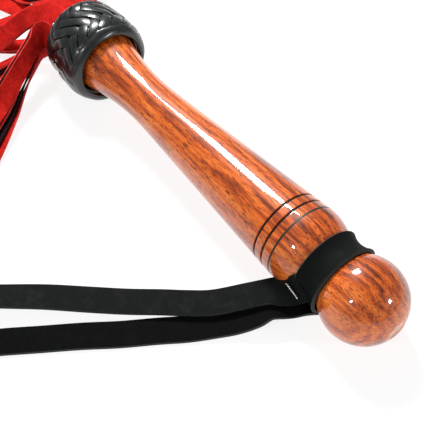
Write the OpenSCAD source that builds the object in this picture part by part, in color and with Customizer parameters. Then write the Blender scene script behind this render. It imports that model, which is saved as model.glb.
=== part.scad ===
// Multi-tail suede whip: a turned wooden handle with a ball end, a plaited knot over three wound fringes
// of suede falls, and a leather wrist strap stapled round the neck. The handle's axis is X, the ball is
// at +X, the falls lie towards -X, and the origin is at the waist of the grip. Millimetres.

/* [Handle] */
// Diameter of the waist, the thinnest place of the grip
waist_d = 24.8; // [22:0.1:30]
// Diameter of the shoulder's crest
shoulder_d = 40.4; // [34:0.1:48]
// Distance from the waist to the shoulder's crest
shoulder_x = 121.5; // [100:0.5:150]
// Length over which the long taper eases into the waist
taper_ease = 10; // [4:0.5:20]
// Diameter of the ball end
ball_d = 40; // [34:0.5:48]
// Distance from the shoulder's crest to the middle of the ball
ball_gap = 37.5; // [34:0.5:46]
// Width of the small flat where the ball was parted off the lathe
ball_flat_d = 9; // [4:0.5:14]
// Diameter of the neck between the shoulder and the ball
neck_d = 30; // [26:0.5:33]
// Distance from the neck's thinnest place to the middle of the ball
neck_gap = 17.6; // [16:0.1:21]
// Distance from the waist to the mouth of the knot
mouth_gap = 37; // [30:0.5:48]
// Radius of the hollow curve that flares from the waist to the knot
flare_r = 150; // [120:5:260]
// Width of a burnt groove
groove_w = 1.1; // [0.6:0.1:2]
// Depth of a burnt groove
groove_depth = 0.8; // [0.4:0.1:1.5]
// Distance between neighbouring grooves
groove_pitch = 5.3; // [4:0.1:8]
// Distance from the shoulder's crest to the middle groove
groove_back = 6.8; // [6:0.1:12]

/* [Spigot and headers] */
// Diameter of the spigot that the fringes are wound on
spigot_d = 28.4; // [23.6:0.2:30]
// Length of the spigot behind its step
spigot_len = 29; // [26:0.5:36]
// Thickness of one wound header
header_t = 1.2; // [0.8:0.1:1.6]
// Gap between one wound layer and the next
layer_gap = 0.1; // [0.05:0.05:0.3]
// How far the headers show behind the knot
web_show = 6; // [3:0.5:12]
// Thickness of the waxed thread that binds the headers
thread_t = 0.8; // [0.5:0.1:1.2]
// Width of the thread binding
thread_w = 8; // [4:0.5:12]
// Diameter of a tack's shank
tack_d = 1.2; // [0.8:0.1:1.8]
// Length of a tack's shank
tack_len = 9; // [7:0.5:11]
// Number of tacks
tack_count = 5; // [3:1:8]

/* [Knot] */
// Outer diameter of the plaited knot
knot_d = 48; // [46:0.5:58]
// Length of the knot along the handle
knot_len = 32; // [28:0.5:40]
// How far the knot's rolled rim stands over the wood at the mouth
rim_over = 3; // [1:0.5:5]
// Length of the rolled rim
rim_len = 7; // [5:0.5:9]
// Thickness of the foundation band under the knot
band_t = 1.4; // [1:0.1:2]

/* [Falls] */
// Width of one fall
fall_w = 10; // [10:0.5:12]
// Thickness of one fall
fall_t = 1.0; // [0.8:0.1:1.2]
// Length of one fall outside the headers
fall_len = 340; // [250:5:420]
// Length of each fall's root, which stays with the headers
root_len = 40; // [40:5:60]
// Heading of the farthest group of falls
fan_far = 150; // [145:1:155]
// Heading of the nearest group of falls
fan_near = 300; // [296:1:301]
// Angle between neighbouring falls of one group
splay_step = 5; // [3:0.5:5.5]
// Heading that all falls drift towards along their length
drift_heading = 195; // [190:1:200]
// Share of that drift reached at the tips
drift_share = 0.5; // [0.3:0.05:0.6]

/* [Wrist strap] */
// Width of the strap
strap_w = 13; // [11:0.5:14]
// Thickness of the strap leather
strap_t = 1.7; // [1.2:0.1:2.1]
// Gap between the neck loop and the wood
loop_gap = 0.3; // [0.2:0.05:0.6]
// Length of the stapled tab beside the neck
tab_len = 6; // [5:0.5:8]
// Diameter of the staple's wire
wire_d = 1; // [0.8:0.1:1.4]
// Length of the staple's crown
staple_w = 8; // [6:0.5:9]

/* [Hidden] */
GROUPS = 5;
LAYERS = 3;
RING_COUNT = 2 * GROUPS;

WOOD = [0.72, 0.34, 0.12];
RED = [0.82, 0.10, 0.08];
BLACK = [0.10, 0.10, 0.10];
$fn = 96;
fit_gap = 0.1;           // clearance between pieces that are fixed to each other
level_pitch = 1.6;       // height between one layer of lying falls and the next
ring_step = 10;          // distance between the rings of a swept strip
path_step = 2.5;         // step of the falls' path, and of the rings along a root
bend_len = [22, 26, 34, 34, 12]; // length in which the falls of each group turn to their heading
upper_drop = 80;         // length in which an upper fall comes down to the table
lower_drop = 55;         // the same for a lower fall
twist_len = 110;         // length in which a fall turns from the knot's side to lying flat
splay_start = 10;        // where neighbouring falls begin to spread
splay_len = 60;          // length in which they reach their own headings

ball_x = shoulder_x + ball_gap;
neck_x = ball_x - neck_gap;
groove_x = shoulder_x - groove_back;
mouth_x = -mouth_gap;
step_x = mouth_x - rim_len + rim_over;
spigot_end = step_x - spigot_len;
rim_front = mouth_x + rim_over;
knot_back = rim_front - knot_len;
rim_back = rim_front - rim_len;
exit_x = knot_back - web_show;

// Radii of the hollow curve of the neck and the rounded shoulder, each tangent to its neighbour
neck_r = neck_d / 2;
ball_r = ball_d / 2;
crest_r = shoulder_d / 2;
cove_r = (neck_gap * neck_gap + neck_r * neck_r - ball_r * ball_r) / (2 * (ball_r - neck_r));
cove_y = neck_r + cove_r;
crest_gap = neck_x - shoulder_x;
crest_drop = cove_y - crest_r;
shoulder_r = (crest_gap * crest_gap + crest_drop * crest_drop - cove_r * cove_r)
    / (2 * (cove_r - crest_drop));
crest_turn = atan((crest_r - waist_d / 2) / eased(shoulder_x));
taper_end = shoulder_x - shoulder_r * sin(crest_turn);
taper_end_r = crest_r - shoulder_r * (1 - cos(crest_turn));

// Layer k of the wound fringes, 0 the inner one, has its middle at this radius
function layer_r(k) = spigot_d / 2 + layer_gap + header_t / 2 + k * (header_t + layer_gap);
headers_r = layer_r(LAYERS - 1) + header_t / 2;
thread_r = headers_r + fit_gap + thread_t;
band_in = thread_r + fit_gap;
band_out = band_in + band_t;
knot_in = band_out + fit_gap;
rim_in = mouth_r(step_x) + fit_gap;
tack_head_t = thread_t / 2;
thread_mid = (knot_back + step_x) / 2;
thread_front = thread_mid + thread_w / 2;
tack_x = (step_x + thread_front) / 2;

// The table under the handle: it touches the ball and the knot
knot_mid = (knot_back + rim_front) / 2;
table_slope = (knot_d - ball_d) / 2 / (ball_x - knot_mid);
function table_z(x) = -ball_r - (ball_x - x) * table_slope;

function smooth(t) = let (c = max(0, min(1, t))) c * c * (3 - 2 * c);
function unit(v) = v / norm(v);
function mouth_r(x) = waist_d / 2 + flare_r - sqrt(flare_r * flare_r - x * x);
function eased(x) = sqrt(x * x + taper_ease * taper_ease) - taper_ease;
function taper_r(x) = waist_d / 2 + (taper_end_r - waist_d / 2) * eased(x) / eased(taper_end);

// Points of an arc of radius r round [x, y], from angle a to angle b
function arc(x, y, r, a, b, steps) =
    [for (k = [0 : steps]) let (t = a + (b - a) * k / steps) [x + r * cos(t), y + r * sin(t)]];

// The same without its last point, where the next curve starts
function open_arc(x, y, r, a, b, steps) = arc(x, y, r, a, b - (b - a) / steps, steps - 1);

// Outline of the turned handle as [distance along the axis, radius]
cove_from = atan2(crest_drop + shoulder_r, crest_gap);
cove_to = atan2(cove_y, neck_gap);
ball_from = 180 - cove_to;
ball_end = asin(ball_flat_d / ball_d);
handle_outline = concat(
    [[spigot_end, 0], [spigot_end, spigot_d / 2], [step_x, spigot_d / 2], [step_x, mouth_r(step_x)]],
    [for (x = [mouth_x : 4 : -1]) [x, mouth_r(x)]],
    [for (k = [0 : 29]) let (x = taper_end * k / 30) [x, taper_r(x)]],
    open_arc(shoulder_x, crest_r - shoulder_r, shoulder_r, 90 + crest_turn, cove_from, 10),
    open_arc(neck_x, cove_y, cove_r, 180 + cove_from, 360 - cove_to, 12),
    arc(ball_x, 0, ball_r, ball_from, ball_end, 24),
    [[ball_x + ball_r * cos(ball_end), 0]]);

// Turns an outline of [distance along X, radius] round the X axis
module turned(outline) {
    rotate([0, 90, 0])
        rotate_extrude()
            polygon([for (p = outline) [p[1], p[0]]]);
}

module ring(x0, x1, r_in, r_out) {
    turned([[x0, r_in], [x0, r_out], [x1, r_out], [x1, r_in]]);
}

// Lays children round the spigot at the tacks' places, with z pointing out
module at_tacks() {
    for (k = [0 : tack_count - 1])
        rotate([(k + 0.5) * 360 / tack_count, 0, 0])
            translate([tack_x, 0, headers_r])
                children();
}

module tack_holes() {
    at_tacks()
        translate([0, 0, -tack_len])
            cylinder(h = tack_len + tack_head_t, d = tack_d + fit_gap);
}

module handle() {
    color(WOOD)
        difference() {
            turned(handle_outline);
            for (k = [-1 : 1])
                let (x = groove_x + k * groove_pitch)
                    ring(x - groove_w / 2, x + groove_w / 2, taper_r(x) - groove_depth, crest_r + 2);
            tack_holes();
        }
}

// Small nails that pin the headers to the spigot, with flat heads
module tacks() {
    color("silver")
        at_tacks() {
            translate([0, 0, fit_gap - tack_len])
                cylinder(h = tack_len, d = tack_d);
            translate([0, 0, fit_gap])
                cylinder(h = tack_head_t, d = 3 * tack_d);
        }
}

// One wound header: the uncut band of a fringe
module header(k) {
    difference() {
        ring(exit_x, step_x - fit_gap, layer_r(k) - header_t / 2, layer_r(k) + header_t / 2);
        tack_holes();
    }
}

module inner_red_header() { color(RED) header(0); }
module black_header() { color(BLACK) header(1); }
module outer_red_header() { color(RED) header(2); }

module thread_binding() {
    color("tan")
        ring(thread_mid - thread_w / 2, thread_front, headers_r + fit_gap, thread_r);
}

module foundation_band() {
    color(BLACK)
        ring(knot_back + 1, rim_back - fit_gap, band_in, band_out);
}

// Crowned outline of the knot, between its back end and the rolled rim
module plaited_knot() {
    crown = knot_d / 2 - knot_in;
    span = rim_back - fit_gap - knot_back;
    color(BLACK)
        turned(concat(
            [[knot_back, knot_in]],
            [for (k = [0 : 14]) let (u = -1 + 1.6 * k / 14)
                [knot_back + span * (u + 1) / 1.6, knot_in + crown * pow(1 - pow(abs(u), 4), 0.25)]],
            [[knot_back + span, knot_in]]));
}

module rolled_rim() {
    rim_out = knot_in + (knot_d / 2 - knot_in) * 0.95;
    roll = (rim_out - rim_in) / 2;
    color(BLACK)
        turned(concat(
            [[rim_back, rim_in]],
            [[rim_back, rim_out]],
            arc(rim_front - roll, rim_in + roll, roll, 90, -90, 12)));
}

// --- Wrist strap -------------------------------------------------------------------------------------

// The neck's hollow curve, moved out by a gap
function neck_arc(gap, half) = arc(neck_x, cove_y, cove_r - gap,
    270 - asin(half / (cove_r - gap)), 270 + asin(half / (cove_r - gap)), 10);

tab_y = -neck_r - loop_gap - strap_t / 2;
tab_t = 2 * strap_t;
tab_drop = 2;
staple_y = tab_y - tab_len * 0.55;

module staple_legs(d) {
    for (side = [-1, 1])
        translate([neck_x + side * (staple_w - wire_d) / 2, staple_y, -tab_drop - tab_t / 2 - fit_gap])
            cylinder(h = tab_t + 2 * fit_gap + wire_d / 2, d = d);
}

// Closed band round the neck, with the two plies side by side in the stapled tab
module neck_loop() {
    half = strap_w / 2;
    color(BLACK)
        difference() {
            union() {
                turned(concat(neck_arc(0, half), [for (p = neck_arc(loop_gap + strap_t, half))
                    [2 * neck_x - p[0], p[1]]]));
                translate([neck_x - half, tab_y - tab_len, -tab_drop - tab_t / 2])
                    cube([strap_w, tab_len, tab_t]);
            }
            turned(concat([[neck_x - half - 1, 0]], [[neck_x - half - 1, neck_arc(loop_gap, half)[0][1]]],
                neck_arc(loop_gap, half),
                [[neck_x + half + 1, neck_arc(loop_gap, half)[0][1]], [neck_x + half + 1, 0]]));
            staple_legs(wire_d + fit_gap);
        }
}

module wire_staple() {
    color("silver") {
        staple_legs(wire_d);
        translate([neck_x, staple_y, -tab_drop + tab_t / 2 + fit_gap + wire_d / 2])
            rotate([0, 90, 0])
                cylinder(h = staple_w, d = wire_d, center = true);
    }
}

// Route of the two legs and the bight: [x from the ball's middle, y, height above the table, stand],
// where stand is 0 where the strap lies flat and 1 where it stands on its edge
strap_route = [
    [-32, -24, 11.6, 0], [-38.5, -32, 7.6, 0], [-46.5, -45, 5, 0], [-54, -54, 4.2, 0], [-62, -63, 4, 0],
    [-72, -75, 4, 0], [-83, -88, 5, 0], [-96, -103, 6, 0.05], [-108, -118, 6.5, 0.12],
    [-118, -130, 6.5, 0.25], [-124, -142, 7, 0.5], [-127, -154, 7.2, 0.8], [-127, -166, 7.4, 1],
    [-122, -175, 7.4, 1], [-114, -177, 7.4, 1], [-107, -171, 7.4, 1], [-103, -162, 7.2, 0.8],
    [-100, -152, 5.5, 0.4], [-96, -141, 2.6, 0.12], [-91, -130, 1.2, 0], [-81, -115, 1.1, 0],
    [-71, -100, 1.1, 0], [-61, -86, 1.1, 0], [-52, -72, 1.1, 0], [-44.5, -61, 1.2, 0],
    [-38.5, -51, 1.8, 0], [-33, -42, 3.2, 0], [-29, -34, 5.8, 0], [-27, -28, 8.6, 0]];
strap_across = unit([-0.788, 0.616, 0]);

// Smooth curve through a list of points, with a few steps in each span
function curve_at(p, i, t) = let (
    n = len(p) - 1, a = p[max(i - 1, 0)], b = p[i], c = p[min(i + 1, n)], d = p[min(i + 2, n)])
    0.5 * (2 * b + (c - a) * t + (2 * a - 5 * b + 4 * c - d) * t * t + (3 * b - a - 3 * c + d) * t * t * t);
function curve(p, steps) = concat(
    [for (i = [0 : len(p) - 2], k = [0 : steps - 1]) curve_at(p, i, k / steps)], [p[len(p) - 1]]);

// Direction of travel at point i of a list
function travel(p, i) = unit(p[min(i + 1, len(p) - 1)] - p[max(i - 1, 0)]);

// A flat strip: points along its middle, the direction across it and its width at each point
module strip(points, across, widths, thick) {
    count = len(points);
    corners = [for (i = [0 : count - 1]) let (
        t = travel(points, i),
        w = unit(across[i] - (across[i] * t) * t) * widths[i] / 2,
        n = unit(cross(w, t)) * thick / 2)
        each [points[i] + w + n, points[i] - w + n, points[i] - w - n, points[i] + w - n]];
    sides = [for (i = [0 : count - 2], k = [0 : 3]) let (a = 4 * i + k, b = 4 * i + (k + 1) % 4)
        each [[a, b, b + 4], [a, b + 4, a + 4]]];
    last = 4 * (count - 1);
    polyhedron(corners, concat(sides,
        [[2, 1, 0], [3, 2, 0], [last, last + 1, last + 2], [last, last + 2, last + 3]]));
}

module wrist_strap() {
    route = curve(strap_route, 2);
    points = [for (p = route) let (x = ball_x + p[0]) [x, p[1], table_z(x) + p[2]]];
    across = [for (p = route) strap_across * (1 - p[3]) - [0, 0, p[3]]];
    color(BLACK) strip(points, across, [for (p = route) strap_w], strap_t);
}

// --- Falls -------------------------------------------------------------------------------------------

// Falls are numbered round the knot: 1 to 5 over the top from the far side, 6 to 10 back underneath
function is_upper(n) = n <= GROUPS;
function group_of(n) = is_upper(n) ? n - 1 : RING_COUNT - n;
function side_of(n) = is_upper(n) ? 1 : -1;
function ring_turn(n) = side_of(n) * (group_of(n) + 0.5) * 180 / GROUPS;
function fan_heading(g) = fan_far + (fan_near - fan_far) * g / (GROUPS - 1);

// Height order of a lying fall in its group, 0 on the table and 5 on top
function level(n, k) = is_upper(n) ? LAYERS + k : LAYERS - 1 - k;
function is_far(n) = group_of(n) <= GROUPS / 2;
function splay(n, k) = (is_upper(n) == is_far(n) ? k + 0.5 : k + 0.5 - LAYERS) * splay_step * (is_far(n) ? -1 : 1);
function heading(n, k, s) = let (fan = fan_heading(group_of(n)), far = s / fall_len)
    180 + (fan - 180) * smooth(s / bend_len[group_of(n)]) + splay(n, k) * smooth((s - splay_start) / splay_len)
    + (drift_heading - fan) * drift_share * far * far;

// How far a fall has come down, and its roll round its own path: 90 or -90 where it lies flat
function drop_share(n, s) = smooth(s / (is_upper(n) ? upper_drop : lower_drop));
function roll(n, s) = ring_turn(n) + (90 * side_of(n) - ring_turn(n)) * smooth(s / twist_len);
function face_out(way, roll) = [sin(way) * cos(roll), -cos(way) * cos(roll), sin(roll)];

// Plan path of a fall, as points every path_step from the headers
function plan_path(n, k) = [for (
    s = 0, p = [exit_x - fit_gap, layer_r(1) * cos(ring_turn(n))];
    s <= fall_len + 0.01;
    p = p + path_step * [cos(heading(n, k, s + path_step / 2)), sin(heading(n, k, s + path_step / 2))],
    s = s + path_step) p];

// Middle of a fall at a distance s: the layers of one fringe keep apart along their faces
function fall_point(n, k, s, p) = let (
    down = drop_share(n, s),
    turn = roll(n, s),
    start_z = layer_r(1) * sin(ring_turn(n)),
    lying = table_z(p[0]) + fall_t / 2 + level(n, 1) * level_pitch + fall_w / 2 * abs(cos(turn)),
    pitch = (header_t + layer_gap) * (1 - down) + level_pitch * down)
    [p[0], p[1], start_z + (lying - start_z) * down] + (k - 1) * pitch * face_out(heading(n, k, s), turn);

// Widths: neighbours just clear each other where they leave the headers
function root_w(k) = min(fall_w, 2 * (layer_r(k) - header_t / 2) * tan(90 / GROUPS) - 2 * fit_gap);
function width_at(k, s) = root_w(k) + (fall_w - root_w(k)) * smooth(s / root_len);

module fall_stretch(n, k, picks) {
    plan = plan_path(n, k);
    points = [for (s = picks) fall_point(n, k, s, plan[round(s / path_step)])];
    across = [for (i = [0 : len(points) - 1])
        cross(travel(points, i), face_out(heading(n, k, picks[i]), roll(n, picks[i])))];
    strip(points, across, [for (s = picks) width_at(k, s)], fall_t);
}

module fall(n, k) {
    fall_stretch(n, k, [for (s = [root_len : ring_step : fall_len]) s]);
}

// The roots of one fringe: the first stretch of its ten falls
module roots(k) {
    for (n = [1 : RING_COUNT])
        fall_stretch(n, k, [for (s = [0 : path_step : root_len - path_step]) s]);
}

module inner_red_roots() { color(RED) roots(0); }
module black_roots() { color(BLACK) roots(1); }
module outer_red_roots() { color(RED) roots(2); }
module red_fall_inner(n) { color(RED) fall(n, 0); }
module black_fall(n) { color(BLACK) fall(n, 1); }
module red_fall_outer(n) { color(RED) fall(n, 2); }

handle();
tacks();
inner_red_header();
black_header();
outer_red_header();
thread_binding();
foundation_band();
plaited_knot();
rolled_rim();
inner_red_roots();
black_roots();
outer_red_roots();
neck_loop();
wire_staple();
wrist_strap();
for (n = [1 : RING_COUNT]) {
    red_fall_inner(n);
    black_fall(n);
    red_fall_outer(n);
}
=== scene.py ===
"""Looks of a multi-tail suede whip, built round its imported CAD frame.

A turned and lacquered wooden handle ends in a ball. A plaited leather knot covers the place where three
suede fringes are wound on the handle's spigot, and a leather wrist strap is stapled round the neck.
Sizes are millimetres in the part's own frame: X runs along the handle towards the ball and Z is up.
"""

from __future__ import annotations

import logging
import math
from dataclasses import dataclass, field
from enum import Enum
from typing import Any, Callable, Sequence

import bpy
from bpy.types import Material, Node, NodeSocket, NodeTree, Object
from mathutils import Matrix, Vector, noise

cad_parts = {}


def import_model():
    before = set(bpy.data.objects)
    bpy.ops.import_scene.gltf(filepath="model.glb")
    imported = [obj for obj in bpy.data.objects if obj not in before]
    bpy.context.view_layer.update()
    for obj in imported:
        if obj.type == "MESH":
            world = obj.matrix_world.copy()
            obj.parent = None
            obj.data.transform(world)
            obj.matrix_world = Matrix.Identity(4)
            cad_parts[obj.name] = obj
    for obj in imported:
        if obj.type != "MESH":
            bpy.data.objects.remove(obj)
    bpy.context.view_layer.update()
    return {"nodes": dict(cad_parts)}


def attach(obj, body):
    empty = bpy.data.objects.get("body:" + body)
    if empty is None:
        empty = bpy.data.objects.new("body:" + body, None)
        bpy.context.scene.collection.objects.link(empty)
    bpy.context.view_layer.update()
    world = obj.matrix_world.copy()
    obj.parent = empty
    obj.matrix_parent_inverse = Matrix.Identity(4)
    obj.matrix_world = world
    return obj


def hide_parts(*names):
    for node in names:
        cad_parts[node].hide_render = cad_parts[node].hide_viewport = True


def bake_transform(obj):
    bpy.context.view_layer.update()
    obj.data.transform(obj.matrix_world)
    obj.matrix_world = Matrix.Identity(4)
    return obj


Pair = tuple[float, float]
Triple = tuple[float, float, float]
LOG = logging.getLogger("whip")
METRES = 0.001
WAVE = math.tau / 20  # scale of a wave texture whose waves are one unit apart


# --- Small helpers ---


def smooth(t: float) -> float:
    """Eased step from 0 to 1, flat at both ends."""
    c = max(0.0, min(1.0, t))
    return c * c * (3 - 2 * c)


def polar(angle: float, radius: float = 1.0) -> Vector:
    """Point round the handle's axis at an angle in degrees, measured from +Y towards +Z."""
    return Vector((0, radius * math.cos(math.radians(angle)), radius * math.sin(math.radians(angle))))


def nearness(angle: float, towards: float) -> float:
    """1 where an angle round the handle is the one it should be towards, and 0 opposite to it."""
    return 0.5 + 0.5 * math.cos(math.radians(angle - towards))


def wobble(seed: float, place: float, scale: float) -> float:
    """Smooth random value from about -1 to 1, the same on every run, that changes over the scale."""
    return noise.noise(Vector((place / scale, seed * 7.31, 0.37)))


def linear(code: str) -> tuple[float, float, float, float]:
    """Turns six hex digits of an sRGB colour into linear red, green, blue and alpha."""
    parts = [int(code[i : i + 2], 16) / 255 for i in (0, 2, 4)]
    red, green, blue = [c / 12.92 if c <= 0.04045 else ((c + 0.055) / 1.055) ** 2.4 for c in parts]
    return red, green, blue, 1.0


def link(name: str, data: Any) -> Object:
    """Puts a new object with some data into the scene."""
    made = bpy.data.objects.new(name, data)
    bpy.context.scene.collection.objects.link(made)
    return made


def catmull(points: Sequence[Vector], steps: int) -> list[Vector]:
    """Smooth curve through points, ends included, with each span cut into a number of steps."""
    found = []
    last = len(points) - 1
    for i in range(last):
        a, b = points[max(i - 1, 0)], points[i]
        c, d = points[i + 1], points[min(i + 2, last)]
        for k in range(steps):
            t = k / steps
            rise = (2 * a - 5 * b + 4 * c - d) * t**2
            found.append(0.5 * (2 * b + (c - a) * t + rise + (3 * b - a - 3 * c + d) * t**3))
    return [*found, points[last].copy()]


def travels(points: Sequence[Vector]) -> list[Vector]:
    """Unit direction of travel at each point of a line."""
    last = len(points) - 1
    return [(points[min(i + 1, last)] - points[max(i - 1, 0)]).normalized() for i in range(last + 1)]


# --- Finishes ---


def add(tree: NodeTree, kind: str, feeds: dict[Any, Any] | None = None, **settings: Any) -> Node:
    """Adds one shader node with its settings and links.

    Args:
        tree: node tree that takes the node.
        kind: Blender's name of the node type, after its ShaderNode.
        feeds: input name or number, and the value or output socket that feeds it.
        **settings: properties of the node.
    """
    node = tree.nodes.new(f"ShaderNode{kind}")
    for name, value in settings.items():
        setattr(node, name, value)
    for name, value in (feeds or {}).items():
        if isinstance(value, NodeSocket):
            tree.links.new(value, node.inputs[name])
        else:
            node.inputs[name].default_value = value
    return node


@dataclass
class Finish:
    """A material with one Principled shader. Each kind of finish says what feeds the shader."""

    name: str
    tree: NodeTree = field(init=False)

    def look(self) -> dict[str, Any]:
        """Values and sockets that feed the shader, by the name of its input."""
        raise NotImplementedError

    def make(self) -> Material:
        """Builds the material."""
        made = bpy.data.materials.new(self.name)
        made.use_nodes = True
        self.tree = made.node_tree
        self.tree.nodes.clear()
        shader = add(self.tree, "BsdfPrincipled", self.look())
        add(self.tree, "OutputMaterial", {"Surface": shader.outputs["BSDF"]})
        return made

    def space(self, stretch: float = 1.0) -> NodeSocket:
        """Pattern space in millimetres, where marks are stretched this many times along the handle."""
        place = add(self.tree, "TexCoord").outputs["Object"]
        scale = (1 / METRES / stretch, 1 / METRES, 1 / METRES)
        return add(self.tree, "Mapping", {"Vector": place, "Scale": scale}).outputs["Vector"]

    def speckle(self, space: NodeSocket, size_mm: float, **more: float) -> Node:
        """Noise with marks of about one size. Its other inputs are given by name."""
        return add(self.tree, "TexNoise", {"Vector": space, "Scale": 1 / size_mm, **more})

    def vectors(self, operation: str, first: NodeSocket, second: Any) -> NodeSocket:
        """Works out one vector from two."""
        return add(self.tree, "VectorMath", {0: first, 1: second}, operation=operation).outputs[0]

    def mixed(self, share: float, first: NodeSocket, second: NodeSocket) -> NodeSocket:
        """Mixes two values. A share of 0 gives the first one and 1 the second."""
        feeds = {0: share, "A": first, "B": second}
        return add(self.tree, "Mix", feeds, data_type="FLOAT").outputs[0]

    def ranged(self, value: NodeSocket, source: Pair, target: Pair) -> NodeSocket:
        """Stretches a value from one range to another."""
        feeds = {"Value": value, 1: source[0], 2: source[1], 3: target[0], 4: target[1]}
        return add(self.tree, "MapRange", feeds).outputs[0]

    def shades(self, value: NodeSocket, *stops: tuple[float, str]) -> NodeSocket:
        """Turns a value into a colour, by the place and the hex colour of each stop."""
        node = add(self.tree, "ValToRGB", {"Fac": value})
        ramp = node.color_ramp.elements
        while len(ramp) < len(stops):
            ramp.new(0.5)
        for element, (place, code) in zip(ramp, stops):
            element.position = place
            element.color = linear(code)
        return node.outputs["Color"]

    def bump(self, height: NodeSocket, strength: float, deep_mm: float) -> NodeSocket:
        """Turns a height into a bumpy surface that is up to deep_mm deep."""
        feeds = {"Height": height, "Strength": strength, "Distance": deep_mm * METRES}
        return add(self.tree, "Bump", feeds).outputs["Normal"]


@dataclass
class LacqueredHardwood(Finish):
    """Straight-grained hardwood, turned on a lathe, stained orange-brown and flooded with gloss lacquer.

    The stain gives long flames from orange to dark brown, open pores make short dark dashes along the
    grain, and the thick clear coat gives small sharp reflections over the duller wood.
    """

    name: str = "lacquered_hardwood"
    pale: str = "F28436"
    orange: str = "DE661C"
    brown: str = "AC460F"
    dark: str = "642606"
    pore: str = "3A1304"
    ring_mm: float = 5.0
    flame_mm: float = 1.7
    pore_mm: float = 0.5
    patch_mm: float = 15.0
    peel_mm: float = 9.0
    ring_stretch: float = 7.0
    flame_stretch: float = 18.0
    pore_stretch: float = 9.0
    ring_bend_mm: Triple = (0.0, 26.0, 26.0)
    pith_mm: Triple = (0.0, 31.0, -17.0)
    flame_share: float = 0.8
    patch_share: float = 0.38

    def rings(self, space: NodeSocket, patches: Node) -> NodeSocket:
        """Year rings round a pith outside the handle, bent by the slow patches of the grain."""
        bend = self.vectors("MULTIPLY", patches.outputs["Color"], self.ring_bend_mm)
        bent = self.vectors("ADD", self.vectors("ADD", space, self.pith_mm), bend)
        feeds = {
            "Vector": bent,
            "Scale": WAVE / self.ring_mm,
            "Distortion": 2.2,
            "Detail": 3.0,
            "Detail Scale": 1.4,
        }
        return add(self.tree, "TexWave", feeds, wave_type="RINGS", rings_direction="X").outputs["Fac"]

    def look(self) -> dict[str, Any]:
        """Feeds of the shader."""
        slow = self.space(self.ring_stretch)
        patches = self.speckle(slow, self.patch_mm)
        flame_space = self.space(self.flame_stretch)
        flames = self.speckle(flame_space, self.flame_mm, Detail=5.0, Roughness=0.62)
        figure = self.mixed(self.flame_share, self.rings(slow, patches), flames.outputs["Fac"])
        shaded = self.mixed(self.patch_share, figure, patches.outputs["Fac"])
        stops = ((0.34, self.dark), (0.43, self.brown), (0.52, self.orange), (0.64, self.pale))
        dashes = self.speckle(self.space(self.pore_stretch), self.pore_mm)
        pores = self.ranged(dashes.outputs["Fac"], (0.54, 0.66), (0.0, 0.8))
        feeds = {"Factor": pores, "A": self.shades(shaded, *stops), "B": linear(self.pore)}
        colour = add(self.tree, "Mix", feeds, data_type="RGBA")
        peel = self.speckle(self.space(), self.peel_mm)
        return {
            "Base Color": colour.outputs["Result"],
            "Coat Normal": self.bump(peel.outputs["Fac"], 0.03, 1.2),
            "Roughness": 0.42,
            "Specular IOR Level": 0.25,
            "Coat Weight": 1.0,
            "Coat Roughness": 0.025,
            "Coat IOR": 1.52,
        }


@dataclass
class BurntLine(Finish):
    """Wood charred by a wire held against the turning handle: a matt, nearly black line under the lacquer."""

    name: str = "burnt_line"
    char: str = "140805"
    ember: str = "2C1209"
    fleck_mm: float = 1.2

    def look(self) -> dict[str, Any]:
        """Feeds of the shader."""
        flecks = self.speckle(self.space(), self.fleck_mm)
        return {
            "Base Color": self.shades(flecks.outputs["Fac"], (0.4, self.char), (0.7, self.ember)),
            "Roughness": 0.55,
            "Coat Weight": 0.4,
            "Coat Roughness": 0.15,
        }


@dataclass
class Suede(Finish):
    """Split leather with a raised nap, drum dyed.

    The nap scatters light, so the colour is deep and matt with a soft bright rim, and brushed places
    look lighter or darker. The nap is drawn coarser than real so that it shows.
    """

    name: str
    colour: str
    brushed: str
    deep: str
    nap_mm: float = 0.45
    brush_mm: float = 7.0

    def look(self) -> dict[str, Any]:
        """Feeds of the shader."""
        space = self.space()
        brush = self.speckle(space, self.brush_mm, Detail=4.0, Roughness=0.65, Distortion=0.6)
        nap = self.speckle(space, self.nap_mm, Detail=3.0)
        both = self.mixed(0.45, brush.outputs["Fac"], nap.outputs["Fac"])
        return {
            "Base Color": self.shades(both, (0.34, self.deep), (0.5, self.colour), (0.66, self.brushed)),
            "Normal": self.bump(nap.outputs["Fac"], 0.55, 0.35),
            "Roughness": 0.95,
            "Specular IOR Level": 0.12,
            "Sheen Weight": 0.25,
            "Sheen Roughness": 0.4,
            "Sheen Tint": linear(self.brushed),
        }


@dataclass
class TannedLeather(Finish):
    """Vegetable-tanned leather, dyed through and rolled.

    Fine pebbled grain catches the light in points. The finish coat sets how glossy it is.
    """

    name: str
    colour: str
    worn: str
    roughness: float
    coat: float
    grain_mm: float = 0.9
    relief: float = 0.35
    crease_mm: float = 6.0
    shine: float = 0.5

    def look(self) -> dict[str, Any]:
        """Feeds of the shader."""
        space = self.space()
        pebbles = add(self.tree, "TexVoronoi", {"Vector": space, "Scale": 1 / self.grain_mm})
        creases = self.speckle(space, self.crease_mm, Detail=6.0, Roughness=0.7).outputs["Fac"]
        grain = self.mixed(0.5, pebbles.outputs["Distance"], creases)
        polish = (self.roughness * 0.8, self.roughness * 1.25)
        return {
            "Base Color": self.shades(creases, (0.42, self.colour), (0.72, self.worn)),
            "Normal": self.bump(grain, self.relief, 0.3),
            "Roughness": self.ranged(creases, (0.3, 0.7), polish),
            "Specular IOR Level": self.shine,
            "Coat Weight": self.coat,
            "Coat Roughness": 0.12,
        }


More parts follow.
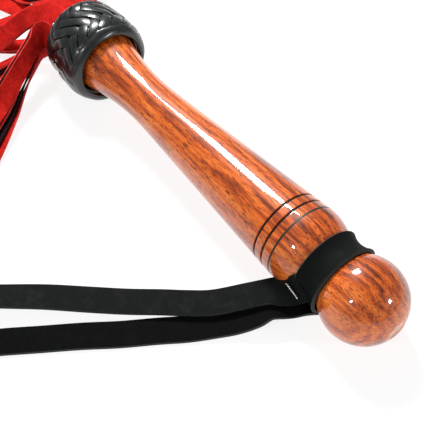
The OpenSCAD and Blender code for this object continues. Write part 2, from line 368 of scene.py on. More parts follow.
@dataclass
class DrawnWire(Finish):
    """Bright steel wire, drawn through a die: faint lines along it soften its reflections."""

    name: str = "drawn_steel_wire"
    colour: str = "D6D4CE"
    line_mm: float = 0.25
    line_stretch: float = 20.0

    def look(self) -> dict[str, Any]:
        """Feeds of the shader."""
        lines = self.speckle(self.space(self.line_stretch), self.line_mm)
        return {
            "Base Color": linear(self.colour),
            "Metallic": 1.0,
            "Roughness": self.ranged(lines.outputs["Fac"], (0.0, 1.0), (0.18, 0.34)),
        }


@dataclass
class WaxedThread(Finish):
    """Linen thread pulled through beeswax: the turns show as fine ribs across the handle's axis, and the
    hollows between them are painted darker as shade.
    """

    name: str = "waxed_linen_thread"
    colour: str = "B79A62"
    # Painted shade for the hollows between turns, not a colour of the thread itself.
    shade: str = "7C6238"
    turn_mm: float = 0.8

    def look(self) -> dict[str, Any]:
        """Feeds of the shader."""
        feeds = {"Vector": self.space(), "Scale": WAVE / self.turn_mm, "Distortion": 0.4}
        turns = add(self.tree, "TexWave", feeds).outputs["Fac"]
        return {
            # The darker colour follows the low parts of the same wave that makes the ribs: painted shade
            # between turns.
            "Base Color": self.shades(turns, (0.1, self.shade), (0.7, self.colour)),
            "Normal": self.bump(turns, 1.0, 0.3),
            "Roughness": 0.6,
        }


@dataclass
class WhiteAcrylic(Finish):
    """Pale table top that glows a little, so that it stays white in the shade."""

    name: str = "white_acrylic_table"

    def look(self) -> dict[str, Any]:
        """Feeds of the shader."""
        return {
            "Base Color": linear("7C7C7C"),
            "Roughness": 0.7,
            "Specular IOR Level": 0.1,
            "Emission Color": linear("FFFFFF"),
            "Emission Strength": 0.86,
        }


def once(finish: Finish) -> Any:
    """Field that holds a finish's material."""
    return field(default_factory=finish.make)


@dataclass
class Finishes:
    """Every finish of the whip, made once."""

    wood: Material = once(LacqueredHardwood())
    burnt: Material = once(BurntLine())
    red: Material = once(Suede("red_suede", "B81812", "DC2A22", "7A0C0A"))
    red_edge: Material = once(Suede("red_suede_cut_edge", "D83A36", "EA5A54", "A01C1A"))
    black: Material = once(Suede("black_suede", "100D0F", "1C181A", "060506"))
    black_edge: Material = once(Suede("black_suede_cut_edge", "2A1A1F", "3A2A2F", "120D0F"))
    lace: Material = once(TannedLeather("glazed_lace_leather", "0F1213", "1A1F20", 0.3, 0.5, relief=0.22))
    rim: Material = once(TannedLeather("glazed_rim_leather", "121516", "1D2223", 0.36, 0.35, relief=0.2))
    strap: Material = once(
        TannedLeather("dyed_strap_leather", "0C0F0E", "141817", 0.7, 0.0, 0.7, relief=0.3, shine=0.08)
    )
    flesh: Material = once(Suede("strap_flesh_side", "060707", "0B0D0C", "020303", 0.6, 5.0))
    strap_edge: Material = once(
        TannedLeather("strap_cut_edge", "262B2A", "363C3B", 0.7, 0.0, 0.5, relief=0.5, shine=0.3)
    )
    wire: Material = once(DrawnWire())
    thread: Material = once(WaxedThread())


# --- Meshes ---


@dataclass
class Shape:
    """A mesh under construction, with its corners in millimetres."""

    corners: list[Vector] = field(default_factory=list)
    faces: list[tuple[int, ...]] = field(default_factory=list)
    coats: list[int] = field(default_factory=list)

    def face(self, corners: Sequence[int], coat: int = 0) -> None:
        """Adds one face with the number of its finish."""
        self.faces.append(tuple(corners))
        self.coats.append(coat)

    def bridge(self, rings: Sequence[Sequence[int]], coats: Sequence[int], closed: bool = False) -> None:
        """Joins rings of corners with bands of four-sided faces.

        Args:
            rings: corner numbers of each ring, all of one length.
            coats: finish of each face round a ring.
            closed: whether the last ring joins the first.
        """
        pairs = list(zip(rings, rings[1:]))
        if closed:
            pairs.append((rings[-1], rings[0]))
        for near, far in pairs:
            count = len(near)
            for k in range(count):
                after = (k + 1) % count
                self.face((near[k], near[after], far[after], far[k]), coats[k])

    def ring(self, points: Sequence[Vector]) -> list[int]:
        """Adds corners and returns their numbers."""
        first = len(self.corners)
        self.corners.extend(points)
        return list(range(first, first + len(points)))

    def piece(self, name: str, finishes: Sequence[Material], crease: float = 40.0) -> Object:
        """Turns the shape into a Blender object.

        Args:
            name: the piece's name.
            finishes: materials, in the order of the finish numbers.
            crease: edges sharper than this many degrees stay crisp.
        """
        mesh = bpy.data.meshes.new(name)
        mesh.from_pydata([c * METRES for c in self.corners], [], self.faces)
        for finish in finishes:
            mesh.materials.append(finish)
        mesh.polygons.foreach_set("material_index", self.coats)
        mesh.validate()
        made = link(name, mesh)
        mesh.shade_smooth()
        mesh.set_sharp_from_angle(angle=math.radians(crease))
        return made


def turned(outline: Sequence[Pair], coats: Sequence[int], sides: int) -> Shape:
    """Turns an open outline round the handle's axis, from axis to axis.

    Args:
        outline: points as distance along X and radius. The first and last lie on the axis.
        coats: finish of the band that starts at each point.
        sides: faces round the axis.
    """
    shape = Shape()
    turns = [360 * k / sides for k in range(sides)]
    rings = [shape.ring([polar(-a, r) + Vector((x, 0, 0)) for a in turns]) for x, r in outline[1:-1]]
    for near, far, coat in zip(rings, rings[1:], coats[1:]):
        shape.bridge([near, far], [coat] * sides)
    ends = ((outline[0], rings[0][::-1], coats[0]), (outline[-1], rings[-1], coats[-1]))
    for (x, _), ring, coat in ends:
        hub = shape.ring([Vector((x, 0, 0))])[0]
        for k in range(sides):
            shape.face((ring[k], ring[(k + 1) % sides], hub), coat)
    return shape


def turned_ring(outline: Sequence[Pair], sides: int, form: Callable[[float, float], float]) -> Shape:
    """Turns a closed outline round the handle's axis into a ring.

    Args:
        outline: closed outline as distance along X and radius, the outside running towards -X.
        sides: faces round the axis.
        form: extra radius for a place along X and an angle, for handmade unevenness.
    """
    shape = Shape()
    rings = []
    for k in range(sides):
        angle = 360 * k / sides
        rings.append(shape.ring([polar(angle, r + form(x, angle)) + Vector((x, 0, 0)) for x, r in outline]))
    shape.bridge(rings, [0] * len(outline), closed=True)
    return shape


@dataclass
class Station:
    """One place along a strip: its middle, the way across it, the way out of its face, and its section."""

    middle: Vector
    across: Vector
    out: Vector
    width: float
    bow: float = 0.0


class StripSide(Enum):
    """Finish numbers of a strip's three kinds of surface."""

    FACE = 0
    BACK = 1
    EDGE = 2


@dataclass
class Strip:
    """A long flat piece cut from leather, with slightly rounded cut edges."""

    stations: list[Station]
    thick: float
    columns: int = 6
    crown: float = 0.0
    closed: bool = False
    ragged: float = 0.0
    lip_share: float = 0.12

    def section(self, place: Station, index: int) -> list[Vector]:
        """Corners round the section at a station, face first. Its index makes the cut edges uneven."""
        rows: dict[int, list[Vector]] = {1: [], -1: []}
        for c in range(self.columns + 1):
            u = place.width * (c / self.columns - 0.5)
            turn = u * place.bow
            side = math.sin(turn) / place.bow if abs(place.bow) > 1e-6 else u
            rise = (math.cos(turn) - 1) / place.bow if abs(place.bow) > 1e-6 else 0.0
            swell = self.crown * (1 - (2 * c / self.columns - 1) ** 2)
            tilt = place.out * math.cos(turn) + place.across * math.sin(turn)
            base = place.middle + place.across * side + place.out * rise
            rows[1].append(base + tilt * (self.thick / 2 + swell))
            rows[-1].append(base - tilt * self.thick / 2)
        lip = self.lip_share * self.thick + self.ragged * abs(wobble(index, index, 1.7))
        right = (rows[1][-1] + rows[-1][-1]) / 2 + place.across * lip
        left = (rows[1][0] + rows[-1][0]) / 2 - place.across * lip
        return [*rows[1], right, *reversed(rows[-1]), left]

    def shape(self) -> Shape:
        """Builds the strip's mesh."""
        made = Shape()
        rings = [made.ring(self.section(s, i)) for i, s in enumerate(self.stations)]
        face, back, edge = (side.value for side in StripSide)
        coats = [face] * self.columns + [edge, edge] + [back] * self.columns + [edge, edge]
        made.bridge(rings, coats, self.closed)
        if not self.closed:
            made.face(rings[0][::-1], edge)
            made.face(rings[-1], edge)
        return made

    def length(self) -> float:
        """Length along the middle in millimetres."""
        middles = [s.middle for s in self.stations]
        return sum((b - a).length for a, b in zip(middles, middles[1:]))


# --- Handle ---


@dataclass
class Handle:
    """The turned handle: spigot, flared mouth, waist, taper, three burnt grooves, shoulder, neck and ball."""

    waist_d: float = 24.8
    shoulder_d: float = 40.4
    shoulder_x: float = 121.5
    taper_ease: float = 10.0
    ball_d: float = 40.0
    ball_x: float = 159.0
    ball_flat_d: float = 9.0
    neck_d: float = 30.0
    neck_x: float = 141.4
    flare_r: float = 150.0
    step_x: float = -41.0
    spigot_end: float = -70.0
    spigot_d: float = 28.4
    groove_w: float = 1.25
    groove_depth: float = 0.8
    groove_x: float = 114.7
    groove_pitch: float = 5.3
    groove_lip: Pair = (0.45, 0.75)
    burnt_depth: float = 0.25
    spigot_edge: float = 0.6
    dish: Pair = (0.15, 0.5)
    coarse_step: float = 1.4
    fine_step: float = 0.1
    sides: int = 144

    def __post_init__(self) -> None:
        """Works out the arcs that blend the taper, the shoulder, the neck and the ball."""
        ball_r, neck_r, crest_r = self.ball_d / 2, self.neck_d / 2, self.shoulder_d / 2
        reach = self.ball_x - self.neck_x
        self.cove_r = (reach**2 + neck_r**2 - ball_r**2) / (2 * (ball_r - neck_r))
        self.cove_y = neck_r + self.cove_r
        gap, drop = self.neck_x - self.shoulder_x, self.cove_y - crest_r
        self.shoulder_r = (gap**2 + drop**2 - self.cove_r**2) / (2 * (self.cove_r - drop))
        self.shoulder_turn = math.atan2(drop + self.shoulder_r, gap)
        self.ball_turn = math.atan2(self.cove_y, reach)
        self.crest_turn = math.atan((crest_r - self.waist_d / 2) / self.eased(self.shoulder_x))
        self.taper_end = self.shoulder_x - self.shoulder_r * math.sin(self.crest_turn)
        self.taper_end_r = crest_r - self.shoulder_r * (1 - math.cos(self.crest_turn))

    def eased(self, x: float) -> float:
        """Distance along the taper, eased into the waist."""
        return math.hypot(x, self.taper_ease) - self.taper_ease

    def radius(self, x: float) -> float:
        """Radius of the flare and the taper, without the grooves."""
        waist = self.waist_d / 2
        if x < 0:
            return waist + self.flare_r - math.sqrt(self.flare_r**2 - x * x)
        return waist + (self.taper_end_r - waist) * self.eased(x) / self.eased(self.taper_end)

    def groove(self, x: float) -> float:
        """Depth of the grooves at a place along the handle, with softly rounded lips."""
        depth = 0.0
        lip, fall = self.groove_lip
        for k in (-1, 0, 1):
            reach = abs(x - self.groove_x - k * self.groove_pitch) / (self.groove_w / 2)
            depth = max(depth, self.groove_depth * (1 - smooth((reach - lip) / fall)))
        return depth

    def arc(self, x: float, y: float, r: float, start: float, end: float, steps: int) -> list[Pair]:
        """Points of an arc as distance along X and radius, without the last one."""
        turns = [start + (end - start) * k / steps for k in range(steps)]
        return [(x + r * math.cos(t), y + r * math.sin(t)) for t in turns]

    def outline(self) -> tuple[list[Pair], list[int]]:
        """Outline of the handle and the finish of each band, 1 where the wood is burnt."""
        ball_end = math.asin(self.ball_flat_d / self.ball_d)
        crest_y = self.shoulder_d / 2 - self.shoulder_r
        spigot_r, edge = self.spigot_d / 2, self.spigot_edge
        end = self.spigot_end
        points = [(end, 0.0), (end, spigot_r - edge), (end + edge, spigot_r)]
        points += [(self.step_x, spigot_r), (self.step_x + 0.01, self.radius(self.step_x))]
        x = self.step_x + 1
        near = self.groove_pitch + self.groove_w
        while x < self.taper_end - 0.4:
            points.append((x, self.radius(x) - self.groove(x)))
            x += self.fine_step if abs(x - self.groove_x) < near else self.coarse_step
        crest = math.pi / 2 + self.crest_turn
        cove = (math.pi + self.shoulder_turn, math.tau - self.ball_turn)
        points += self.arc(self.shoulder_x, crest_y, self.shoulder_r, crest, self.shoulder_turn, 14)
        points += self.arc(self.neck_x, self.cove_y, self.cove_r, *cove, 16)
        points += self.arc(self.ball_x, 0, self.ball_d / 2, math.pi - self.ball_turn, ball_end, 48)
        flat_x = self.ball_x + self.ball_d / 2 * math.cos(ball_end)
        dish_x, dish_r = flat_x - self.dish[0], self.ball_flat_d / 2 - self.dish[1]
        points += [(flat_x, self.ball_flat_d / 2), (dish_x, dish_r), (dish_x, 0.0)]
        return points, [1 if self.groove(x) > self.burnt_depth else 0 for x, _ in points]

    def build(self, finishes: Finishes) -> None:
        """Turns the handle and puts it in the frame."""
        outline, coats = self.outline()
        made = turned(outline, coats, self.sides).piece("turned_handle", [finishes.wood, finishes.burnt], 35)
        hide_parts("handle")
        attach(made, "handle")
        LOG.info("turned_handle: %d faces", len(made.data.polygons))


@dataclass
class Table:
    """The surface that the whip lies on. It touches the ball and the knot, so it slopes along X."""

    handle: Handle
    knot_d: float = 48.0
    knot_mid: float = -50.0

    def height(self, x: float) -> float:
        """Height of the surface at a place along X."""
        ball_r = self.handle.ball_d / 2
        slope = (self.knot_d / 2 - ball_r) / (self.handle.ball_x - self.knot_mid)
        return -ball_r - (self.handle.ball_x - x) * slope


# --- Knot ---


@dataclass
class Knot:
    """Herringbone plait of glazed laces over the headers, with a smooth rolled rim at the mouth."""

    back: float = -66.5
    front: float = -34.4
    header_r: float = 18.2
    strands: int = 20
    bands: int = 3
    lace_w: float = 4.7
    lace_t: float = 1.1
    lace_bow: float = 1 / 26
    weave: float = 0.55
    weave_edge: float = 2.2
    pitch_turn: float = 80.0
    dent: float = 1.1
    dent_turn: float = 215.0
    dent_x: float = -57.5
    dent_len: float = 3.2
    back_drop: float = 0.9
    back_x: float = -58.0
    steps: int = 54

    def form(self) -> list[Vector]:
        """Outline under the laces, as distance along X and radius, from the back end to the rim."""
        hand = [
            (-66.0, 18.9), (-66.9, 20.2), (-66.0, 21.7), (-63.0, 22.5), (-59.5, 22.7), (-55.5, 22.8),
            (-51.0, 23.1), (-46.2, 23.1), (-42.4, 22.9), (-39.4, 22.0), (-38.2, 20.6),
        ]
        return catmull([Vector((x, r, 0)) for x, r in hand], 8)

    def hollow(self, x: float, angle: float) -> float:
        """Shallow hollow between the plait's two swells, deepest on the near and lower side."""
        near = nearness(angle, self.dent_turn)
        dent = -self.dent * near * math.exp(-(((x - self.dent_x) / self.dent_len) ** 2))
        return dent - self.back_drop * near * smooth((self.back_x - x) / 8)

    def lace(self, index: int, hand: int, form: Sequence[Vector]) -> Strip:
        """One lace that winds round the knot by its hand, 1 or -1, and goes over and under the others."""
        start = 360 * index / self.strands + (0 if hand > 0 else 180 / self.strands)
        points, outs = [], []
        last = len(form) - 1
        for k in range(self.steps + 1):
            u = k / self.steps
            place = u * last
            i = min(int(place), last - 1)
            spot = form[i].lerp(form[i + 1], place - i)
            run = (form[i + 1] - form[i]).normalized()
            angle = start + hand * self.pitch_turn * u
            phase = u * self.bands - 0.5
            over = hand * math.cos(math.pi * phase)
            lift = self.weave * math.tanh(self.weave_edge * over) + self.lace_t / 2
            normal = Vector((-run.y, run.x, 0))
            x = spot.x + normal.x * lift
            radius = spot.y + normal.y * lift + self.hollow(spot.x, angle)
            points.append(polar(angle, radius) + Vector((x, 0, 0)))
            outs.append((polar(angle, normal.y) + Vector((normal.x, 0, 0))).normalized())
        stations = []
        for point, out, run in zip(points, outs, travels(points)):
            across = run.cross(out).normalized()
            lift = across.cross(run).normalized()
            stations.append(Station(point, across, lift, self.lace_w, self.lace_bow))
        return Strip(stations, self.lace_t, columns=4, crown=0.22)

    def core(self) -> Shape:
        """Dark leather core under the laces, so that no light comes through the plait."""
        outer = [(p.x, p.y - 0.35) for p in self.form()]
        inner = [(-39.0, self.header_r + 0.5), (-65.6, self.header_r + 0.5)]
        return turned_ring([*outer[::-1], *inner[::-1]], 96, self.hollow)

    def rim(self) -> Shape:
        """Rolled rim: a smooth band that curls over the mouth towards the wood."""
        hand = [
            (-41.2, 21.8), (-40.6, 22.9), (-39.4, 23.5), (-38.0, 23.4), (-36.4, 22.7), (-35.2, 21.5),
            (-34.5, 20.2), (-34.9, 18.9), (-36.2, 18.6), (-37.4, 18.8), (-38.6, 19.2), (-40.2, 20.0),
            (-41.2, 20.8),
        ]
        loop = [Vector((x, r, 0)) for x, r in hand]
        outline = [(p.x, p.y) for p in catmull([*loop, loop[0]], 4)[:-1]]

        def pull(x: float, angle: float) -> float:
            """Soft unevenness where the rim was pulled tight by hand."""
            turn = math.radians(angle)
            swirl = noise.noise(Vector((x / 9, 1.6 * math.cos(turn), 1.6 * math.sin(turn))))
            return 0.35 * swirl + 0.12 * math.sin(9 * turn + x)

        return turned_ring(outline[::-1], 160, pull)

    def build(self, finishes: Finishes) -> None:
        """Plaits the knot and rolls its rim."""
        form = self.form()
        plait = self.core()
        for hand in (1, -1):
            for index in range(self.strands):
                lace = self.lace(index, hand, form).shape()
                first = len(plait.corners)
                plait.corners.extend(lace.corners)
                for corners in lace.faces:
                    plait.face([first + c for c in corners])
        knot = plait.piece("plaited_knot_laces", [finishes.lace], 60)
        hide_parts("plaited_knot")
        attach(knot, "handle")
        rim = self.rim().piece("rolled_knot_rim", [finishes.rim], 60)
        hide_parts("rolled_rim")
        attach(rim, "handle")
        LOG.info("knot: %d faces, rim: %d faces", len(knot.data.polygons), len(rim.data.polygons))


# --- Falls ---


class Layer(Enum):
    """The three wound fringes: their number from the inside, the names of their nodes, and their colour."""

    INNER_RED = (0, "red_fall_inner_", "inner_red", "red_suede")
    BLACK = (1, "black_fall_", "black", "black_suede")
    OUTER_RED = (2, "red_fall_outer_", "outer_red", "red_suede")

    def __init__(self, number: int, fall: str, node: str, slot: str) -> None:
        """Keeps the layer's facts under plain names."""
        self.number = number
        self.fall = fall
        self.header = f"{node}_header"
        self.roots = f"{node}_roots"
        self.slot = slot


@dataclass
class Falls:
    """Three fringes of suede falls, wound on the spigot, that come out of the knot and lie on the table."""

    table: Table
    exit_x: float = -72.0
    front_x: float = -41.1
    spigot_r: float = 14.2
    header_t: float = 1.2
    layer_gap: float = 0.1
    fall_w: float = 10.0
    fall_t: float = 1.0
    fall_len: float = 340.0
    fan_far: float = 150.0
    fan_near: float = 300.0
    splay_step: float = 5.0
    drift_heading: float = 195.0
    drift_share: float = 0.5
    level_pitch: float = 1.6
    bend_len: tuple[float, ...] = (22.0, 26.0, 34.0, 34.0, 12.0)
    upper_level: int = 4
    lower_level: int = 1
    upper_drop: float = 80.0
    lower_drop: float = 55.0
    twist_len: float = 110.0
    splay_start: float = 10.0
    splay_len: float = 60.0
    web: float = 8.0
    fold_len: float = 30.0
    wave: float = 1.4
    wave_len: float = 38.0
    curl: float = 0.012
    curl_len: float = 45.0
    flatten_len: float = 26.0
    root_spread: float = 0.35
    step: float = 2.5
    bodies: tuple[str, ...] = ("falls_far", "falls_back_far", "falls_back", "falls_back_near", "falls_near")

    def layer_r(self, k: int) -> float:
        """Radius of the middle of a wound layer."""
        return self.spigot_r + self.layer_gap + self.header_t / 2 + k * (self.header_t + self.layer_gap)

    def is_upper(self, n: int) -> bool:
        """Whether a fall comes out over the handle's axis."""
        return n <= len(self.bodies)

    def group_of(self, n: int) -> int:
        """Number of the group that a fall lies in, counted from the far side."""
        return n - 1 if self.is_upper(n) else 2 * len(self.bodies) - n

    def ring_turn(self, n: int) -> float:
        """Angle round the knot at which a fall comes out."""
        turn = (self.group_of(n) + 0.5) * 180 / len(self.bodies)
        return turn if self.is_upper(n) else -turn

    def fan(self, group: int) -> float:
        """Heading of a group of falls."""
        return self.fan_far + (self.fan_near - self.fan_far) * group / (len(self.bodies) - 1)

    def heading(self, n: int, k: int, s: float) -> float:
        """Heading of a fall, in degrees, at a distance from the header."""
        group = self.group_of(n)
        fan = self.fan(group)
        far = group <= len(self.bodies) / 2
        order = k + 0.5 - (0 if self.is_upper(n) == far else len(Layer))
        splay = order * self.splay_step * (-1 if far else 1)
        bend = (fan - 180) * smooth(s / self.bend_len[group])
        drift = (self.drift_heading - fan) * self.drift_share * (s / self.fall_len) ** 2
        return 180 + bend + splay * smooth((s - self.splay_start) / self.splay_len) + drift

    def roll(self, n: int, s: float) -> float:
        """Roll of a fall round its own path, in degrees: 90 or -90 where it lies flat."""
        start = self.ring_turn(n)
        end = 90 if self.is_upper(n) else -90
        return start + (end - start) * smooth(s / self.twist_len)

    def strip(self, n: int, k: int) -> Strip:
        """Fall n round the knot, of layer k. It starts with the header's curve and flattens as it leaves."""
        turn = math.radians(self.ring_turn(n))
        radius = self.layer_r(k)
        middle_r = self.layer_r(1)
        plan = Vector((self.exit_x, middle_r * math.cos(turn), 0))
        start_z = middle_r * math.sin(turn)
        drop = self.upper_drop if self.is_upper(n) else self.lower_drop
        level = self.upper_level if self.is_upper(n) else self.lower_level
        seed = 11.0 * self.group_of(n) + 1
        points, outs, places = [], [], []
        s = 0.0
        while s <= self.fall_len + 0.01:
            share = smooth(s / drop)
            way, roll = math.radians(self.heading(n, k, s)), math.radians(self.roll(n, s))
            side = math.cos(roll)
            out = Vector((math.sin(way) * side, -math.cos(way) * side, math.sin(roll)))
            stand = self.fall_w / 2 * abs(side)
            rest = self.table.height(plan.x) + self.fall_t / 2 + level * self.level_pitch + stand
            wave = self.wave * (0.5 + 0.5 * wobble(seed, s, self.wave_len)) * smooth((s - 60) / 60)
            pitch = (self.header_t + self.layer_gap) * (1 - share) + self.level_pitch * share
            middle = Vector((plan.x, plan.y, start_z + (rest + wave - start_z) * share))
            points.append(middle + (k - 1) * pitch * out)
            outs.append(out)
            places.append(s)
            ahead = math.radians(self.heading(n, k, s + self.step / 2))
            plan += self.step * Vector((math.cos(ahead), math.sin(ahead), 0))
            s += self.step
        pitch = math.tau * radius / (2 * len(self.bodies))
        web = self.web + 2.0 * wobble(3.7 * n + k, 5, 10)
        stations = []
        for point, out, run, s in zip(points, outs, travels(points), places):
            across = run.cross(out).normalized()
            spread = pitch * (1 + self.root_spread * smooth(s / 5))
            width = spread + (self.fall_w - spread) * smooth((s - web) / 7)
            curl = self.curl * wobble(seed + n + 4 * k, s, self.curl_len) * smooth((s - 20) / 40)
            bow = (1 - smooth(s / self.flatten_len)) / radius + curl
            stations.append(Station(point, across, across.cross(run).normalized(), width, bow))
        return Strip(stations, self.fall_t, columns=6, ragged=0.12)

    def build_header(self, layer: Layer, finish: Material) -> None:
        """Winds one header: the uncut band of a fringe."""
        inner = self.layer_r(layer.number) - self.header_t / 2
        outer = inner + self.header_t
        back, front = self.exit_x, self.front_x
        outline = [(front, inner), (front, outer), (back, outer), (back, inner)]
        ring = turned_ring(outline, 120, lambda x, angle: 0.0)
        made = ring.piece(f"{layer.slot}_header_{layer.number}", [finish])
        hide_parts(layer.header)
        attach(made, "handle")

    def build(self, finishes: Finishes) -> None:
        """Winds the headers and lays the falls."""
        coats = {
            "red_suede": [finishes.red, finishes.red, finishes.red_edge],
            "black_suede": [finishes.black, finishes.black, finishes.black_edge],
        }
        for layer in Layer:
            self.build_header(layer, coats[layer.slot][0])
            for n in range(1, 2 * len(self.bodies) + 1):
                strip = self.strip(n, layer.number)
                made = strip.shape().piece(f"suede_{layer.fall}{n}", coats[layer.slot], 50)
                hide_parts(f"{layer.fall}{n}", layer.roots)
                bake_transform(made)
                flat = (self.fall_w * METRES, strip.length() * METRES)
            LOG.info("%s: header and 10 falls", layer.header)


# --- Wrist strap ---


@dataclass
class WristStrap:
    """Leather wrist strap: a band round the neck, two legs that lie on the table, a bight and a staple."""

    handle: Handle
    table: Table
    width: float = 13.0
    thick: float = 1.7
    gap: float = 0.3
    wire_d: float = 1.0
    wire_sides: int = 12
    slack_turn: float = 190.0
    slack_out: float = 0.25
    slack_back: float = 0.6
    hinge: Triple = (132.0, -21.0, -4.0)
    fold_len: float = 22.0
    leg_way: Triple = (-0.616, -0.788, 0.0)
    # The legs and the bight: distance from the ball's middle, y, height over the table, and how far the
    # strap stands on its edge
    route: tuple[tuple[float, float, float, float], ...] = (
        (-32, -24, 11.6, 0), (-38.5, -32, 7.6, 0), (-46.5, -45, 5, 0), (-54, -54, 4.2, 0), (-62, -63, 4, 0),
        (-72, -75, 4, 0), (-83, -88, 5, 0), (-96, -103, 6, 0.05), (-108, -118, 6.5, 0.12),
        (-118, -130, 6.5, 0.25), (-124, -142, 7, 0.5), (-127, -154, 7.2, 0.8), (-127, -166, 7.4, 1),
        (-122, -175, 7.4, 1), (-114, -177, 7.4, 1), (-107, -171, 7.4, 1), (-103, -162, 7.2, 0.8),
        (-100, -152, 5.5, 0.4), (-96, -141, 2.6, 0.12), (-91, -130, 1.2, 0), (-81, -115, 1.1, 0),
        (-71, -100, 1.1, 0), (-61, -86, 1.1, 0), (-52, -72, 1.1, 0), (-44.5, -61, 1.2, 0),
        (-38.5, -51, 1.8, 0), (-33, -42, 3.2, 0), (-29, -34, 5.8, 0), (-27, -28, 8.6, 0),
    )  # fmt: skip
    # How each leg leaves the neck: place, and the way across the strap there
    upper_root: tuple[tuple[Triple, Triple], ...] = (
        ((139.0, -17.3, 2.0), (-0.93, -0.02, 0.36)),
        ((136.6, -18.6, -1.6), (-0.94, 0.06, 0.34)),
        ((132.6, -20.6, -5.2), (-0.9, 0.3, 0.25)),
    )
    lower_root: tuple[tuple[Triple, Triple], ...] = (
        ((135.4, -22.6, -11.4), (-0.85, 0.45, 0.1)),
        ((138.8, -18.6, -9.6), (-0.95, 0.2, 0.1)),
        ((140.6, -15.4, -10.6), (-0.98, 0.05, 0.05)),
        ((141.2, -11.9, -13.8), (-1.0, 0.0, 0.0)),
    )

    def legs(self) -> Strip:
        """Both legs and the bight in one piece, from the staple out and back under it."""
        flat_across = Vector((-0.788, 0.616, 0)).normalized()
        knots = [Vector(p) for p, _ in self.upper_root]
        sides = [Vector(a) for _, a in self.upper_root]
        for dx, y, height, stand in self.route:
            x = self.handle.ball_x + dx
            knots.append(Vector((x, y, self.table.height(x) + height)))
            sides.append(flat_across * (1 - stand) - Vector((0, 0, stand)))
        knots += [Vector(p) for p, _ in self.lower_root]
        sides += [Vector(a) for _, a in self.lower_root]
        points, turned_sides = catmull(knots, 6), catmull(sides, 6)
        stations = []
        for i, (point, side, run) in enumerate(zip(points, turned_sides, travels(points))):
            across = (side - run * side.dot(run)).normalized()
            bow = 0.01 * wobble(2.0, 3.0 * i, 60)
            stations.append(Station(point, across, across.cross(run).normalized(), self.width, bow))
        return Strip(stations, self.thick, columns=8, ragged=0.15)

    def band(self) -> Strip:
        """Closed band round the neck, bowed to lie in its hollow."""
        middle = self.handle.neck_d / 2 + self.gap + self.thick / 2
        stations = []
        count = 120
        for k in range(count):
            angle = 360 * k / count
            out = polar(angle)
            near = nearness(angle, self.slack_turn)
            x = self.handle.neck_x - self.slack_back * near
            point = polar(angle, middle + self.slack_out * near) + Vector((x, 0, 0))
            bow = -1 / (self.handle.cove_r - self.gap - self.thick / 2)
            stations.append(Station(point, Vector((-1, 0, 0)), out, self.width + 0.6, bow))
        return Strip(stations, self.thick, columns=10, closed=True)

    def staple(self) -> Shape:
        """Wire staple through both plies: a straight crown with rounded corners and two short legs."""
        along = Vector((0.93, 0.02, -0.36)).normalized()
        inward = Vector((-0.35, 0.275, -0.89)).normalized()
        middle = Vector((136.4, -20.3, -1.2))
        half = 3.9
        bends = ((half, 2.6), (half, 1.2), (half - 0.5, 0.25), (half - 1.6, 0.0))
        left = [middle - along * reach + inward * deep for reach, deep in bends]
        right = [middle + along * reach + inward * deep for reach, deep in bends[::-1]]
        line = catmull([*left, middle, *right], 5)
        shape = Shape()
        rings = []
        lift = inward.cross(along).normalized()
        for point, run in zip(line, travels(line)):
            across = run.cross(lift).normalized()
            turns = [math.tau * k / self.wire_sides for k in range(self.wire_sides)]
            reach = self.wire_d / 2
            ring = [point + reach * (across * math.cos(t) + lift * math.sin(t)) for t in turns]
            rings.append(shape.ring(ring))
        shape.bridge(rings, [0] * self.wire_sides)
        shape.face(rings[0][::-1])
        shape.face(rings[-1])
        return shape

    def build(self, finishes: Finishes) -> None:
        """Makes the band, the legs and the staple."""
        coats = [finishes.strap, finishes.flesh, finishes.strap_edge]
        band = self.band().shape().piece("neck_band_leather", coats, 50)
        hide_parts("neck_loop")
        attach(band, "strap_loop")
        strip = self.legs()
        legs = strip.shape().piece("wrist_strap_leather", coats, 50)
        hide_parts("wrist_strap")
        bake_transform(legs)
        strip.length() * METRES
        wire = self.staple().piece("bright_wire_staple", [finishes.wire], 60)
        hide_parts("wire_staple")
        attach(wire, "strap_loop")
        LOG.info("wrist strap: %.0f mm of strap", strip.length())


# --- Hidden pieces ---


def dress_nodes(frame: dict[str, Any], finishes: Finishes) -> None:
    """Gives the frame's CAD nodes under the knot their finishes."""
    dressed = {"tacks": finishes.wire, "thread_binding": finishes.thread, "foundation_band": finishes.rim}
    for node, finish in dressed.items():
        mesh = frame["nodes"][node].data
        mesh.materials.clear()
        mesh.materials.append(finish)
        mesh.polygons.foreach_set("material_index", [0] * len(mesh.polygons))
        mesh.update()
        LOG.info("%s: dressed in %s", node, finish.name)


# --- Studio ---


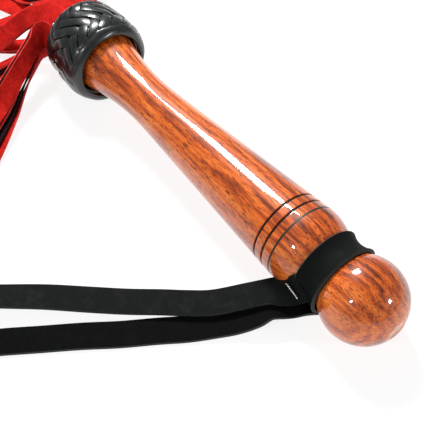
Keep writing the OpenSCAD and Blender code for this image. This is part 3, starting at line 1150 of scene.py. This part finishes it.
@dataclass
class Studio:
    """Camera, pale table and soft lights."""

    table: Table
    azimuth: float = 51.74
    elevation: float = 51.02
    distance: float = 353.8
    target: Triple = (83.3, -20.9, 0.0)
    lens: float = 63.63
    floor_reach: float = 2600.0

    def aim(self, thing: Object, place: Vector, target: Vector) -> None:
        """Puts a camera or lamp at a place and points it at a target, both in millimetres."""
        thing.location = place * METRES
        thing.rotation_euler = (target - place).to_track_quat("-Z", "Y").to_euler()

    def camera(self) -> None:
        """Makes the camera."""
        data = bpy.data.cameras.new("camera")
        data.lens = self.lens
        data.sensor_width = 36
        data.clip_start = 0.01
        made = link("camera", data)
        turn, lift = math.radians(self.azimuth), math.radians(self.elevation)
        back = Vector((math.cos(lift) * math.sin(turn), -math.cos(lift) * math.cos(turn), math.sin(lift)))
        target = Vector(self.target)
        self.aim(made, target + back * self.distance, target)
        bpy.context.scene.camera = made

    def lamp(self, name: str, place: Vector, target: Vector, size: Pair, power: float) -> None:
        """Makes one rectangular soft light, with millimetres for its place and size and watts for power."""
        data = bpy.data.lights.new(name, "AREA")
        data.shape = "RECTANGLE"
        data.size, data.size_y = (side * METRES for side in size)
        data.energy = power
        self.aim(link(name, data), place, target)

    def floor(self) -> None:
        """Lays the pale table top that the whip rests on."""
        reach = self.floor_reach
        shape = Shape()
        plan = ((-reach, -reach), (reach, -reach), (reach, reach), (-reach, reach))
        shape.face(shape.ring([Vector((x, y, self.table.height(x))) for x, y in plan]))
        made = shape.piece("pale_table", [WhiteAcrylic().make()])

    def lights(self) -> None:
        """Hangs the soft lights and sets the pale room."""
        world = bpy.data.worlds.new("pale_room")
        bpy.context.scene.world = world
        world.use_nodes = True
        world.node_tree.nodes.clear()
        sky = add(world.node_tree, "Background", {"Color": linear("FFFFFF"), "Strength": 0.26})
        add(world.node_tree, "OutputWorld", {"Surface": sky.outputs[0]})
        grip = Vector((50, 0, 0))
        self.lamp("key_window", grip + Vector((-600, 220, 760)), grip, (250, 250), 13)
        self.lamp("front_spot", grip + Vector((80, -900, 690)), grip, (110, 110), 3)
        self.lamp("side_spot", grip + Vector((950, 430, 480)), grip, (150, 150), 2.5)
        view = bpy.context.scene.view_settings
        view.view_transform = "Standard"
        view.look = "None"


def main() -> None:
    """Loads the frame and builds the whip piece by piece."""
    logging.basicConfig(level=logging.INFO, format="%(name)s: %(message)s")
    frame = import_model()
    handle = Handle()
    table = Table(handle)
    studio = Studio(table)
    studio.camera()
    finishes = Finishes()
    handle.build(finishes)
    Knot().build(finishes)
    Falls(table).build(finishes)
    WristStrap(handle, table).build(finishes)
    dress_nodes(frame, finishes)
    studio.floor()
    studio.lights()


if __name__ == "__main__":
    main()
